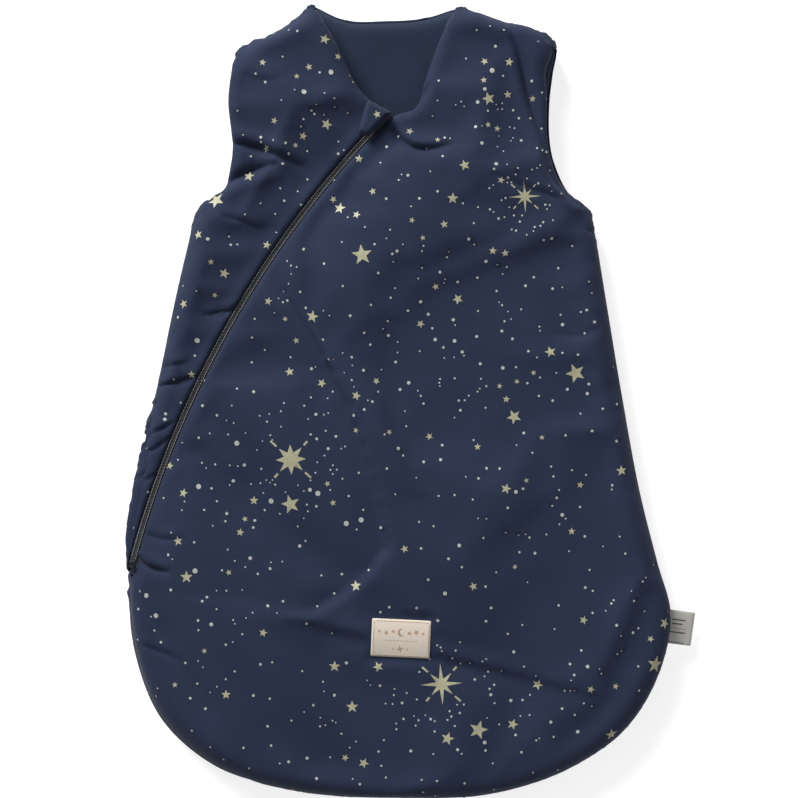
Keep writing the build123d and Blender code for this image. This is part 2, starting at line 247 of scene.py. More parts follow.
class Pad:
    """A pad made of one cut of cloth: its flat outline, and where its points sit on the bag."""

    def __init__(self, edges, side):
        self.edges = edges
        self.side = side
        outline, places = [], []
        for i, edge in enumerate(edges):
            before = edges[i - 1]
            corner = self.corner(before, edge)
            outline += [corner, *edge.flat[1:-1]]
            places += [(before.line[-1] + edge.line[0]) / 2, *edge.line[1:-1]]
        corners = [edge.line[0] for edge in edges]
        self.outline = soften(np.array(outline), places, corners)
        self.places = soften(np.array(places), places, corners)

    @staticmethod
    def corner(before, after):
        """The flat corner that two edges meet in, no further out than one and a half of either."""
        ways = np.stack([before.outward[-1], after.outward[0]])
        spare = np.array([before.spare[-1], after.spare[0]])
        if abs(np.linalg.det(ways)) < 0.2:
            out = (ways * spare[:, None]).mean(axis=0)
        else:
            out = np.linalg.solve(ways, spare)
        most = 0.7 * spare.max()
        out *= min(1.0, most / max(np.linalg.norm(out), 1e-9))
        return (before.line[-1] + after.line[0]) / 2 + out

    def heights(self, points):
        """Height of the cloth at each flat point; and for each edge its distance, how far its rim
        moves the point inwards, and the way in."""
        levels, distances, moves, ways = [], [], [], []
        for edge in self.edges:
            far, way_in, numbers = edge.nearest(points, edge.flat)
            height, up, inwards = edge.rim(far, numbers)
            levels.append(self.side * height + up)
            distances.append(far)
            moves.append(inwards)
            ways.append(way_in)
        z = self.side * np.min(levels, axis=0)
        return z, np.stack(distances, axis=1), np.stack(moves, axis=1), np.stack(ways, axis=1)

    def place(self, points, on_edge):
        """Where flat points lie on the bag. The first on_edge points are the outline's own."""
        z, _, moves, ways = self.heights(points)
        weights = np.abs(moves)[:, :, None]
        matrix = np.einsum("nki,nkj->nij", ways * weights, ways) + 0.05 * np.eye(2)
        wanted = (ways * weights * moves[:, :, None]).sum(axis=1)
        shift = np.linalg.solve(matrix, wanted[:, :, None])[:, :, 0]
        most = 1.3 * np.abs(moves).max(axis=1)
        size = np.linalg.norm(shift, axis=1)
        shift *= np.minimum(1, most / np.maximum(size, 1e-9))[:, None]
        flat = points + shift
        flat[:on_edge] = self.places[:on_edge]
        return np.column_stack([flat, z])


def inside(points, loop):
    """Which points are inside the closed loop."""
    x, y = points[:, 0], points[:, 1]
    found = np.zeros(len(points), bool)
    for (x1, y1), (x2, y2) in zip(loop, np.roll(loop, -1, axis=0)):
        if y1 != y2:
            found ^= ((y1 > y) != (y2 > y)) & (x < (x2 - x1) * (y - y1) / (y2 - y1) + x1)
    return found


def hex_grid(loop, spacing):
    low, high = loop.min(axis=0), loop.max(axis=0)
    rows = np.arange(low[1], high[1], spacing * math.sqrt(3) / 2)
    points = [(x + (spacing / 2 if k % 2 else 0), y)
              for k, y in enumerate(rows) for x in np.arange(low[0], high[0], spacing)]
    return np.array(points)


def clear_of(points, others, distance):
    """The points that stand at least distance from all the others."""
    kept = np.ones(len(points), bool)
    order = np.argsort(others[:, 1])
    others = others[order]
    first = np.searchsorted(others[:, 1], points[:, 1] - distance)
    last = np.searchsorted(others[:, 1], points[:, 1] + distance)
    for i, (a, b) in enumerate(zip(first, last)):
        if b > a and (((others[a:b] - points[i]) ** 2).sum(axis=1) < distance**2).any():
            kept[i] = False
    return points[kept]


def thinned(points, distance):
    """The points without those that come too close to an earlier one."""
    kept = []
    cells = {}
    for x, y in points:
        cell = (int(x // distance), int(y // distance))
        near = [q for i in (-1, 0, 1) for j in (-1, 0, 1) for q in cells.get((cell[0] + i, cell[1] + j), ())]
        if all(math.hypot(x - a, y - b) > distance for a, b in near):
            kept.append((x, y))
            cells.setdefault(cell, []).append((x, y))
    return np.array(kept)


def ring(loop, inset):
    """Points that follow the closed outline a little way inside it."""
    points = loop + inwards_of(loop) * inset
    return clear_of(points[inside(points, loop)], loop, 0.85 * inset)


def beside_folds(folds):
    """Points in rows along the folds, so that the mesh is fine enough for a sharp crease."""
    rows = []
    for path, _, width, _, _ in folds:
        line = smooth_line(path, 2.0)
        across = left_of(line)
        rows += [line + across * aside for aside in width * FOLD_ROWS]
    return np.concatenate(rows)


def cut_cloth(loop, shapes, spacing, rings=(), folds=()):
    """Triangles over the loop, with the shapes' outlines in them. Says which lie in a shape."""
    fixed = np.concatenate([loop, *shapes]) if shapes else loop
    taken = fixed
    if folds:
        rows = beside_folds(folds)
        rows = clear_of(rows[inside(rows, loop)], fixed, 0.8)
        taken = np.concatenate([fixed, thinned(rows, 0.9)])
    for inset in rings:
        near_edge = clear_of(ring(loop, inset), taken, 0.85 * (inset if inset < 2 else 1.8))
        taken = np.concatenate([taken, near_edge])
    grid = hex_grid(loop, spacing)
    grid = clear_of(grid[inside(grid, loop)], taken, 0.6 * spacing)
    points = np.concatenate([taken, grid])
    sides, start = [], 0
    for shape in [loop, *shapes]:
        n = len(shape)
        sides += [(start + k, start + (k + 1) % n) for k in range(n)]
        start += n
    found = delaunay_2d_cdt([Vector(p) for p in points], sides, [], 1, 1e-5)
    new_index = np.zeros(len(found[0]), int)
    extra = len(points)
    for k, sources in enumerate(found[3]):
        if sources:
            new_index[k] = sources[0]
        else:
            new_index[k] = extra
            extra += 1
    verts = np.zeros((extra, 2))
    verts[:len(points)] = points
    verts[new_index] = np.array([tuple(v) for v in found[0]])
    faces = new_index[np.array(found[2])]
    middles = verts[faces].mean(axis=1)
    faces = faces[inside(middles, loop)]
    middles = verts[faces].mean(axis=1)
    inked = np.zeros(len(faces), int)
    for shape in shapes:
        low, high = shape.min(axis=0), shape.max(axis=0)
        near = np.flatnonzero(((middles > low) & (middles < high)).all(axis=1))
        inked[near[inside(middles[near], shape)]] = 2 if len(shape) in ROUND_SIDES else 1
    a, b, c = (verts[faces[:, k]] for k in range(3))
    flip = np.cross(b - a, c - a) < 0
    faces[flip] = faces[flip][:, ::-1]
    return verts, faces, inked


def edges_of(faces):
    pairs = np.concatenate([faces[:, [0, 1]], faces[:, [1, 2]], faces[:, [2, 0]]])
    pairs = np.sort(pairs, axis=1)
    return np.unique(pairs, axis=0)


def relax(points, faces, times, free):
    """Moves the free points towards the middle of their neighbours, several times."""
    pairs = edges_of(faces)
    count = np.bincount(pairs.ravel(), minlength=len(points))[:, None]
    for _ in range(times):
        total = np.zeros_like(points)
        np.add.at(total, pairs[:, 0], points[pairs[:, 1]])
        np.add.at(total, pairs[:, 1], points[pairs[:, 0]])
        points = points + (total / np.maximum(count, 1) - points) * (0.5 * free[:, None])
    return points


# ---------------------------------------------------------------- mesh and simulation helpers
def mesh_object(name, points, faces, materials, which=None, cloth=None):
    """A mesh of points in millimetres. cloth holds flat cloth coordinates for the weave."""
    mesh = bpy.data.meshes.new(name)
    mesh.from_pydata((np.asarray(points, float) * MM).tolist(), [], [list(map(int, f)) for f in faces])
    for material in materials:
        mesh.materials.append(material)
    if which is not None:
        mesh.polygons.foreach_set("material_index", np.asarray(which, np.int32))
    mesh.polygons.foreach_set("use_smooth", np.ones(len(mesh.polygons), bool))
    if cloth is not None:
        flat = mesh.attributes.new("cloth", "FLOAT_VECTOR", "POINT")
        values = np.zeros((len(points), 3), np.float32)
        values[:, :2] = np.asarray(cloth) * MM
        flat.data.foreach_set("vector", values.ravel())
    mesh.update()
    obj = bpy.data.objects.new(name, mesh)
    bpy.context.scene.collection.objects.link(obj)
    return obj


def slab_mesh(name, flat, faces, rim_count, top, low, materials, inked=None):
    """A thin closed sheet: two sides with the same faces, joined along the first rim_count points."""
    n, m = len(flat), rim_count
    rim = [(k, k + n, (k + 1) % m + n, (k + 1) % m) for k in range(m)]
    all_faces = np.concatenate([faces, faces[:, ::-1] + n]).tolist() + rim
    which = None if inked is None else np.concatenate([inked, np.zeros(len(faces) + m, int)])
    return mesh_object(name, np.concatenate([top, low]), all_faces, materials, which, np.tile(flat, (2, 1)))


def belongs(piece, slot, *nodes, body="bag"):
    """Attaches a piece to the body it moves with and hides the CAD nodes that it replaces. slot is not used.
    """
    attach(piece, body)
    if nodes:
        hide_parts(*nodes)


def settle(points, faces, pinned, slack, pressure, stiffness, most, frames=22):
    """Lets the cloth of a pad swell and buckle between its seams. Returns how each point moved."""
    obj = mesh_object("settling", points, faces, [])
    group = obj.vertex_groups.new(name="pin")
    group.add([int(i) for i in pinned], 1.0, "REPLACE")
    cloth = obj.modifiers.new("cloth", "CLOTH")
    s = cloth.settings
    s.quality = 5
    s.mass = 0.15
    s.tension_stiffness = s.compression_stiffness = 20
    s.shear_stiffness = 8
    s.bending_stiffness = stiffness
    s.vertex_group_mass = "pin"
    s.pin_stiffness = 1.0
    s.shrink_min = -slack
    s.use_pressure = True
    s.uniform_pressure_force = pressure
    s.effector_weights.gravity = 0.0
    cloth.collision_settings.use_collision = False
    cloth.collision_settings.use_self_collision = False
    cloth.point_cache.frame_start = 1
    cloth.point_cache.frame_end = frames
    scene = bpy.context.scene
    for step in range(1, frames + 1):
        scene.frame_set(step)
    shown = obj.evaluated_get(bpy.context.evaluated_depsgraph_get()).data
    moved = np.zeros(len(points) * 3)
    shown.vertices.foreach_get("co", moved)
    moved = moved.reshape(-1, 3) / MM - points
    bpy.data.objects.remove(obj)
    scene.frame_set(1)
    size = np.linalg.norm(moved, axis=1, keepdims=True)
    return moved * np.tanh(size / most) * most / np.maximum(size, 1e-9)


def carried(values, flat, faces, points):
    """Values at flat points, read from a coarser flat mesh."""
    tree = BVHTree.FromPolygons([(x, y, 0) for x, y in flat], [tuple(map(int, f)) for f in faces])
    result = np.zeros((len(points), values.shape[1]))
    for i, (x, y) in enumerate(points):
        hit, _, index, _ = tree.find_nearest((x, y, 0))
        a, b, c = (flat[k] for k in faces[index])
        u, v = b - a, c - a
        w = np.array((hit.x, hit.y)) - a
        area = u[0] * v[1] - u[1] * v[0]
        s = (w[0] * v[1] - w[1] * v[0]) / area
        t = (u[0] * w[1] - u[1] * w[0]) / area
        result[i] = values[faces[index]].T @ (1 - s - t, s, t)
    return result


# ---------------------------------------------------------------- print
def star(x, y, radius, turn=0.0, points=5, waist=0.42):
    """A star's outline; every second corner is at the waist."""
    angles = turn + math.pi / 2 + np.arange(2 * points) * math.pi / points
    size = np.where(np.arange(2 * points) % 2 == 0, radius, radius * waist)
    return np.column_stack([x + size * np.cos(angles), y + size * np.sin(angles)])


ROUND_SIDES = (7, 9)        # the dots' numbers of corners, which no star has


def dot(x, y, radius):
    sides = 7 if radius < 1.2 else 9
    angles = np.arange(sides) * 2 * math.pi / sides
    return np.column_stack([x + radius * np.cos(angles), y + radius * np.sin(angles)])


def burst(x, y, radius, turn, long, waist):
    """A shining star: eight rays, and a stroke beyond each of the slanting ones."""
    corners = []
    for k in range(16):
        size = radius * (long, waist, 0.72, waist)[k % 4]
        angle = turn + k * math.pi / 8
        corners.append((x + size * math.cos(angle), y + size * math.sin(angle)))
    shapes = [np.array(corners)]
    middle = np.array((x, y))
    for k in range(4):
        angle = turn + (k + 0.5) * math.pi / 2
        way = np.array((math.cos(angle), math.sin(angle)))
        across = np.array((-way[1], way[0])) * 0.045 * radius
        near, far = middle + way * radius * 0.86, middle + way * radius * (1.1 + 0.12 * (k % 2))
        shapes.append(np.array([near - across, far - across, far + across, near + across]))
    return shapes


# x, y and size of the printed stars that stand out; the bursts also have the share of the size that
# every second ray reaches, and that of the waist between rays
BURSTS = [(-88, -49, 18, 0.68, 0.33), (34, -231, 17, 1.0, 0.26), (103, 166, 12, 1.1, 0.25)]
LARGE_STARS = [(-28, 118, 8.5), (145, 21, 8.2), (-88, -85, 8.0), (64, -268, 8.0), (209, -218, 7.6),
               (-151, 165, 7.4), (217, -185, 5.0)]
SMALL_STARS = [
    (73, 246, 5.6), (54, 191, 4.6), (45, 164, 4.8), (-68, 68, 5.4), (-107, 80, 3.6), (-143, 103, 4.2),
    (-109, 127, 3.6), (-61, 296, 4.4), (-59, 225, 4.6), (95, -14, 6.2), (125, 39, 4.8), (182, -59, 4.6),
    (50, 82, 4.4), (39, -275, 5.6), (92, -264, 4.6), (173, -274, 5.4), (112, -232, 4.6), (-29, -296, 4.4),
    (-38, -250, 5.2), (-52, -217, 4.8), (-17, -217, 4.4), (-35, -150, 4.6), (-173, -146, 5.2),
    (-118, -83, 3.8), (-176, -78, 4.0), (-64, 13, 3.8), (-34, 4, 4.2), (-90, 22, 3.8), (87, -72, 4.4),
    (-124, 184, 4.8), (20, 62, 3.4), (-171, 20, 3.4), (150, -180, 3.6), (-110, -190, 3.6),
    (5, -120, 3.4), (-140, -240, 4.0), (60, -150, 3.6), (88, 120, 3.4), (-20, 170, 3.2),
    (-50, 282, 3.0), (-74, 273, 3.0), (-111, 276, 3.0), (-103, 228, 3.0), (-78, 215, 3.4), (-110, 206, 3.0),
    (9, 220, 3.2), (-33, 198, 3.6), (-48, 157, 5.2), (-33, 151, 3.4), (-164, 135, 4.2), (90, 276, 3.6),
    (70, 277, 3.2), (69, 261, 2.8), (89, 250, 3.4), (73, 225, 2.6), (38, 143, 3.4), (12, 146, 2.6),
    (78, 122, 3.4), (84, 179, 3.0), (-153, 112, 2.8), (-151, 85, 2.4), (-176, 78, 4.0), (-189, -55, 3.4),
    (-180, -117, 4.0), (-129, -109, 3.4), (-125, -98, 2.6),
]
BIG_DOTS = [(-56, 269), (-78, 252), (76, 269), (-166, 48), (-132, -37), (-163, -73), (-166, -141),
            (-198, -178), (-207, -162), (-66, -76), (-104, -83), (-43, -100), (-31, -97)]
# middle, spread and number of the clouds of dots between them
DOT_CLOUDS = [
    (-20, 60, 70, 46), (60, 90, 60, 40), (110, 40, 55, 34), (-90, -60, 55, 52), (50, -30, 70, 50),
    (130, -90, 50, 30), (20, -230, 75, 60), (-130, -130, 60, 44), (-160, -200, 45, 26),
    (-60, 0, 60, 34), (70, 230, 40, 44), (90, 180, 40, 30), (-100, 100, 50, 26), (-60, 260, 45, 26),
    (-90, 200, 40, 20), (140, -240, 50, 34), (-190, -20, 40, 22), (0, 150, 60, 30), (190, -180, 40, 22),
    (-60, -280, 60, 26),
]
SCATTER = 25.0              # how far apart the dots are that lie everywhere
BURST_DOTS = 40             # how many are tried round each burst
BIG_DOT = 2.1
PRINT_MARGIN = 1.2          # the least distance from the print to the cloth's cut edge


def print_shapes(pad, stars, clouds, bursts=()):
    """Outlines of the printed stars and dots that lie whole on this pad and clear of each other."""
    shapes, taken = [], []

    def free(x, y, radius, gap=1.2):
        return all(math.hypot(x - a, y - b) > radius + c + gap for a, b, c in taken)

    for x, y, radius, long, waist in bursts:
        taken.append((x, y, radius * 1.05))
        shapes.append(burst(x, y, radius, 0.06, long, waist))
    for x, y, radius in stars:
        if free(x, y, radius, 0.0):
            taken.append((x, y, radius))
            shapes.append([star(x, y, radius, chance.uniform(-0.5, 0.5))])
    for x, y in BIG_DOTS:
        if free(x, y, BIG_DOT + 0.1):
            taken.append((x, y, BIG_DOT + 0.1))
            shapes.append([dot(x, y, BIG_DOT)])
    for x, y, radius, _, _ in bursts:
        for _ in range(BURST_DOTS):
            angle = chance.uniform(0, 2 * math.pi)
            far = radius * chance.uniform(1.15, 2.6)
            px, py = x + far * math.cos(angle), y + far * math.sin(angle)
            size = chance.uniform(0.6, 0.95)
            if free(px, py, size, 1.6):
                taken.append((px, py, size))
                shapes.append([dot(px, py, size)])
    low, high = pad.outline.min(axis=0), pad.outline.max(axis=0)
    for gx in np.arange(low[0], high[0], SCATTER):
        for gy in np.arange(low[1], high[1], SCATTER):
            px, py = chance.uniform((gx, gy), (gx + SCATTER, gy + SCATTER))
            size = chance.uniform(0.7, 1.25)
            if free(px, py, size, 3.0):
                taken.append((px, py, size))
                shapes.append([dot(px, py, size)])
    for x, y, width, number in clouds:
        for _ in range(number * 2 // 3):
            px, py = chance.normal((x, y), width * 0.6)
            radius = 0.62 + 1.0 * chance.random() ** 3
            if chance.random() < 0.09:
                radius = chance.uniform(2.2, 3.2)
                made = [star(px, py, radius, chance.uniform(-0.6, 0.6))]
            else:
                made = [dot(px, py, radius)]
            if free(px, py, radius):
                taken.append((px, py, radius))
                shapes.append(made)

    def fits(outline):
        clear = clear_of(outline, pad.outline, PRINT_MARGIN)
        return inside(outline, pad.outline).all() and len(clear) == len(outline)

    return [outline for group in shapes for outline in group if fits(outline)]


# ---------------------------------------------------------------- folds
def fold(points, path, depth, width, ridge, side):
    """Lowers the points along a path, and lifts them beside it; both fade out at its ends."""
    line = smooth_line(path, 4.0)
    a, ab = line[:-1], np.diff(line, axis=0)
    flat = points[:, :2]
    best = np.full(len(points), 1e9)
    signed = np.zeros(len(points))
    share = np.zeros(len(points))
    for i in range(len(a)):
        t = np.clip((flat - a[i]) @ ab[i] / (ab[i] @ ab[i]), 0, 1)
        off = flat - a[i] - t[:, None] * ab[i]
        d = np.linalg.norm(off, axis=1)
        closer = d < best
        best[closer] = d[closer]
        side_of = np.sign(ab[i][0] * off[:, 1] - ab[i][1] * off[:, 0])
        signed[closer] = (d * side_of)[closer]
        share[closer] = (i + t[closer]) / len(a)
    fade = np.sin(np.pi * np.clip(share, 0.0, 1.0)) ** 0.6
    dip = np.exp(-((np.abs(signed) / width) ** 1.3))
    lift = np.exp(-(((signed * side - 2.4 * width) / (1.7 * width)) ** 2))
    points[:, 2] += fade * (ridge * lift - depth * dip)
    return points


# ---------------------------------------------------------------- materials
class Recipe:
    """A material made of nodes, with short calls to add and join them."""

    def __init__(self, name):
        self.material = bpy.data.materials.new(name)
        self.material.use_nodes = True
        self.tree = self.material.node_tree
        self.shader = self.tree.nodes["Principled BSDF"]

    def add(self, kind, **inputs):
        node = self.tree.nodes.new(kind)
        for key, value in inputs.items():
            if hasattr(node, key):
                setattr(node, key, value)
            else:
                self.put(node.inputs[key.replace("_", " ")], value)
        return node

    def put(self, socket, value):
        if isinstance(value, bpy.types.NodeSocket):
            self.tree.links.new(value, socket)
        else:
            socket.default_value = value

    def set(self, **inputs):
        for key, value in inputs.items():
            self.put(self.shader.inputs[key.replace("_", " ")], value)

    def math(self, operation, a, b=0.0):
        node = self.add("ShaderNodeMath", operation=operation)
        self.put(node.inputs[0], a)
        self.put(node.inputs[1], b)
        return node.outputs[0]

    def sum_of(self, first, first_share, second, second_share):
        return self.math("ADD", self.math("MULTIPLY", first, first_share),
                         self.math("MULTIPLY", second, second_share))

    def cloth_place(self):
        return self.add("ShaderNodeAttribute", attribute_name="cloth").outputs["Vector"]

    def object_place(self):
        return self.add("ShaderNodeTexCoord").outputs["Object"]

    def noise(self, place, scale, detail=3.0, roughness=0.5):
        node = self.add("ShaderNodeTexNoise", Scale=scale, Detail=detail, Roughness=roughness)
        self.put(node.inputs["Vector"], place)
        return node.outputs["Fac"]

    def threads(self, place, pitch, direction):
        """Rows of threads, pitch apart in metres, as a wave from 0 to 1."""
        node = self.add("ShaderNodeTexWave", wave_type="BANDS", bands_direction=direction,
                        wave_profile="SIN", Scale=0.314159 / pitch, Distortion=0.6, Detail=2.0,
                        Detail_Scale=2.0)
        self.put(node.inputs["Vector"], place)
        return node.outputs["Fac"]

    def between(self, share, first, second):
        node = self.add("ShaderNodeMix", data_type="RGBA")
        self.put(node.inputs["Factor"], share)
        self.put(node.inputs[6], (*first, 1.0))
        self.put(node.inputs[7], (*second, 1.0))
        return node.outputs[2]

    def span(self, value, low, high, new_low=0.0, new_high=1.0):
        node = self.add("ShaderNodeMapRange")
        for key, v in zip(("Value", "From Min", "From Max", "To Min", "To Max"),
                          (value, low, high, new_low, new_high)):
            self.put(node.inputs[key], v)
        return node.outputs["Result"]

    def bump(self, height, strength, distance):
        node = self.add("ShaderNodeBump", Strength=strength, Distance=distance)
        self.put(node.inputs["Height"], height)
        self.set(Normal=node.outputs["Normal"])


def woven(name, dark, light, pitch, has_cut=True, sheen=0.25, depth=0.00012):
    """Plain-weave cloth: crossed threads, slubs and a slow change of shade."""
    r = Recipe(name)
    where = r.cloth_place() if has_cut else r.object_place()
    warp = r.threads(where, pitch, "X")
    weft = r.threads(where, pitch, "Y")
    weave = r.math("ADD", warp, weft)
    patches = r.noise(where, 22.0, 4.0)
    slubs = r.noise(where, 900.0, 2.0)
    shade = r.sum_of(patches, 0.6, slubs, 0.5)
    shade = r.math("ADD", shade, r.math("MULTIPLY", weave, 0.12))
    r.set(Base_Color=r.between(r.span(shade, 0.3, 0.95), dark, light))
    r.set(Roughness=r.span(slubs, 0.2, 0.8, 0.79, 0.93))
    r.set(Sheen_Weight=sheen, Sheen_Roughness=0.45, Specular_IOR_Level=0.2)
    r.bump(r.sum_of(weave, 0.5, slubs, 0.8), 0.55, depth)
    return r.material


def foil_ink(name, dark, light):
    """Printed metallic ink that sits in the weave, so it is a little broken up."""
    r = Recipe(name)
    where = r.cloth_place()
    grain = r.noise(where, 1500.0, 2.0)
    patches = r.noise(where, 160.0, 3.0)
    shade = r.sum_of(grain, 0.5, patches, 0.5)
    r.set(Base_Color=r.between(r.span(shade, 0.3, 0.7), dark, light))
    r.set(Metallic=0.1, Roughness=r.span(grain, 0.2, 0.8, 0.42, 0.62))
    r.bump(grain, 0.4, 0.00008)
    return r.material


def knitted(name, dark, light):
    """Plain jersey: fine upright ribs."""
    r = Recipe(name)
    where = r.cloth_place()
    ribs = r.threads(where, 0.0009, "X")
    rows = r.threads(where, 0.0007, "Y")
    patches = r.noise(where, 18.0, 4.0)
    fuzz = r.noise(where, 1200.0, 2.0)
    shade = r.sum_of(patches, 0.8, fuzz, 0.3)
    r.set(Base_Color=r.between(r.span(shade, 0.3, 0.9), dark, light))
    r.set(Roughness=r.span(fuzz, 0.2, 0.8, 0.8, 0.95), Sheen_Weight=0.1, Sheen_Roughness=0.5)
    r.set(Specular_IOR_Level=0.2)
    r.bump(r.sum_of(ribs, 0.7, rows, 0.35), 0.5, 0.0002)
    return r.material


def tape_cloth():
    """Zip tape: a tight weave with ribs along the zip."""
    r = Recipe("zip_tape")
    where = r.cloth_place()
    ribs = r.threads(where, 0.0008, "X")
    rows = r.threads(where, 0.0006, "Y")
    grain = r.noise(where, 1400.0, 2.0)
    shade = r.sum_of(ribs, 0.5, grain, 0.5)
    r.set(Base_Color=r.between(r.span(shade, 0.2, 0.8), (0.018, 0.022, 0.035), (0.035, 0.04, 0.058)))
    r.set(Roughness=r.span(grain, 0.2, 0.8, 0.68, 0.85), Sheen_Weight=0.2, Specular_IOR_Level=0.3)
    r.bump(r.sum_of(ribs, 0.8, rows, 0.4), 0.6, 0.0002)
    return r.material


def nylon():
    r = Recipe("nylon_coil")
    grain = r.noise(r.object_place(), 2200.0, 2.0)
    patches = r.noise(r.object_place(), 60.0, 3.0)
    r.set(Base_Color=r.between(r.span(patches, 0.3, 0.7), (0.036, 0.037, 0.045), (0.056, 0.057, 0.066)))
    r.set(Roughness=r.span(grain, 0.2, 0.8, 0.36, 0.5), Specular_IOR_Level=0.5)
    r.bump(grain, 0.15, 0.00004)
    return r.material


def lacquered_metal():
    """Dark lacquer over zinc, rubbed a little."""
    r = Recipe("lacquered_metal")
    where = r.object_place()
    rubbed = r.noise(where, 700.0, 5.0, 0.65)
    fine = r.noise(where, 4000.0, 2.0)
    share = r.span(rubbed, 0.55, 0.75)
    r.set(Base_Color=r.between(share, (0.035, 0.038, 0.048), (0.16, 0.155, 0.15)))
    r.set(Metallic=0.75, Roughness=r.span(fine, 0.2, 0.8, 0.3, 0.42))
    r.bump(fine, 0.12, 0.00003)
    return r.material


def thread(name, dark, light):
    r = Recipe(name)
    where = r.object_place()
    twist = r.noise(where, 3000.0, 2.0)
    r.set(Base_Color=r.between(twist, dark, light), Roughness=0.6, Sheen_Weight=0.3)
    r.bump(twist, 0.3, 0.00006)
    return r.material


def satin(name, dark, light, roughness=0.38):
    """Satin ribbon: fine floats across it and a soft gloss."""
    r = Recipe(name)
    where = r.cloth_place()
    floats = r.threads(where, 0.0003, "Y")
    patches = r.noise(where, 60.0, 3.0)
    grain = r.noise(where, 1500.0, 2.0)
    shade = r.sum_of(patches, 0.5, grain, 0.5)
    r.set(Base_Color=r.between(r.span(shade, 0.3, 0.7), dark, light))
    r.set(Roughness=r.span(grain, 0.2, 0.8, roughness - 0.05, roughness + 0.1), Sheen_Weight=0.15)
    r.bump(floats, 0.35, 0.00008)
    return r.material


PRINT_CLOTH = woven("printed_cotton", (0.0098, 0.0164, 0.0382), (0.0172, 0.0257, 0.056), 0.00045, sheen=0.04)
GOLD = foil_ink("gold_ink", (0.25, 0.24, 0.145), (0.40, 0.385, 0.26))
SILVER = foil_ink("silver_ink", (0.27, 0.29, 0.26), (0.42, 0.44, 0.40))
LINING = knitted("lining_jersey", (0.0076, 0.0148, 0.0325), (0.0126, 0.0226, 0.047))
PIPING_CLOTH = woven("piping_cloth", (0.02, 0.027, 0.048), (0.038, 0.046, 0.072), 0.0004, has_cut=False,
                     sheen=0.1)
TAPE = tape_cloth()
COIL = nylon()
METAL = lacquered_metal()
LABEL_CLOTH = woven("label_cloth", (0.52, 0.455, 0.385), (0.65, 0.575, 0.495), 0.0005, depth=0.00015)
ROSE_THREAD = thread("rose_thread", (0.42, 0.30, 0.22), (0.62, 0.46, 0.35))
ROSE_INK = satin("rose_ink", (0.32, 0.20, 0.13), (0.44, 0.30, 0.21), 0.4)
COIL_THREAD = thread("coil_thread", (0.13, 0.125, 0.13), (0.19, 0.18, 0.18))
TAG_SATIN = satin("tag_satin", (0.37, 0.355, 0.33), (0.45, 0.435, 0.41))
TAG_INK = satin("tag_ink", (0.05, 0.05, 0.055), (0.08, 0.08, 0.085))

# ---------------------------------------------------------------- edges of the bag


def curl(line):
    """Where the back curls up round the foot's left side, so that its seam shows: 1, elsewhere 0."""
    return ramp(line[:, 1], -115.0, -150.0) * ramp(line[:, 0], -95.0, -140.0)


def seam_height(line):
    return SEAM_HEIGHT + 5.0 * curl(line)


def seam_inset(line):
    return 1.2 + 1.6 * curl(line)


def room_to_zip(line):
    """How far the points of a line are from the cloth's edge beside the zip."""
    beside = zip_line(CLOTH_TO_ZIP, 2.0)
    return np.linalg.norm(line[:, None] - beside[None], axis=2).min(axis=1)


def front_seam(points):
    """The front's edge in the seam round the sides; the back's bulge hides behind it."""
    line = smooth_line(points)
    line = line + left_of(line) * (seam_inset(line) * curl(line))[:, None]
    width = np.clip(0.8 * room_to_zip(line), 2.5, 20.0)
    bulge = np.minimum(seam_inset(line) * (1 - curl(line)), 0.2 * width)
    tuck = np.arccos(1 - bulge / width)
    top = ZIP_HEIGHT + 1.5 + (FRONT_RIM_TOP - ZIP_HEIGHT - 1.5) * ramp(width, 6.0, 20.0)
    return Edge(line, seam_height(line), width, tuck, top, FRONT_CROWN)


def back_seam(points, width=15.0):
    line = smooth_line(points)
    tuck = np.arccos(1 - seam_inset(line) / width)
    height = seam_height(line)
    return Edge(line, height, width, tuck, 2 * height - BACK_LOW)


def back_roll(points):
    line = smooth_line(points)
    return Edge(line, BACK_ROLL_HEIGHT, 5.0, 0.5, 2 * BACK_ROLL_HEIGHT - BACK_LOW)


def shoulder_seam(points):
    return Edge(smooth_line(points), SEAM_HEIGHT, 12.0, 0.4, FRONT_RIM_TOP, FRONT_CROWN)


def front_roll(points, width=9.0):
    return Edge(smooth_line(points), NECK_ROLL_HEIGHT, width, 0.5, FRONT_RIM_TOP, FRONT_CROWN)


def zip_z(points):
    """Height of the zip, which dips into the seam at its very end."""
    end = np.linalg.norm(points - np.array(ZIP_END), axis=1)
    return ZIP_HEIGHT - 6.0 * ramp(end, 11.0, 0.0)


def zip_edge(aside):
    """The edge sewn to the zip; the main panel's runs up the zip, the side panel's down it."""
    line = zip_line(aside)
    height = zip_z(line) + 0.3
    room = 20.0
    if aside > 0:
        room = LEFT_SEAM.nearest(line, LEFT_SEAM.line)[0]
    top = height + (ZIP_RIM_TOP - ZIP_HEIGHT) * ramp(room, 2.0, 20.0) + 0.6
    width = 1.0 + 2.5 * ramp(room, 2.0, 20.0)
    edge = Edge(line, height, width, 0.4, top, FRONT_RIM_TOP + FRONT_CROWN - ZIP_RIM_TOP, draw_in=False)
    return edge.reverse() if aside > 0 else edge


